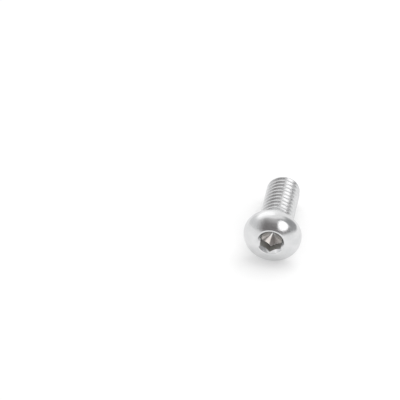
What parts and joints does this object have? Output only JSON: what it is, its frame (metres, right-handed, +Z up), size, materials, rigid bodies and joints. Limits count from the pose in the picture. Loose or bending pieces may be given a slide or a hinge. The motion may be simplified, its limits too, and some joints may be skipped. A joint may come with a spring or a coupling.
{
  "type": "button head screw",
  "caption": "Button head socket cap screw: low domed head with a hexagon socket on a short, fully threaded shank, for clamping parts with a smooth low-profile head.",
  "frame": {"origin": "centre of the bounding box, at the ground that the screw lies on", "axes": "+Z up; the screw lies along Y with its head towards -Y and its tip towards +Y, the tip end dipping by 8.9 degrees because the head is wider than the shank; X across"},
  "size_m": [0.0134, 0.0232, 0.0133],
  "materials": {
    "button_head_screw": "bright, lightly polished stainless steel"
  },
  "bodies": {
    "root": {"button_head_screw": "button_head_screw"}
  },
  "joints": []
}
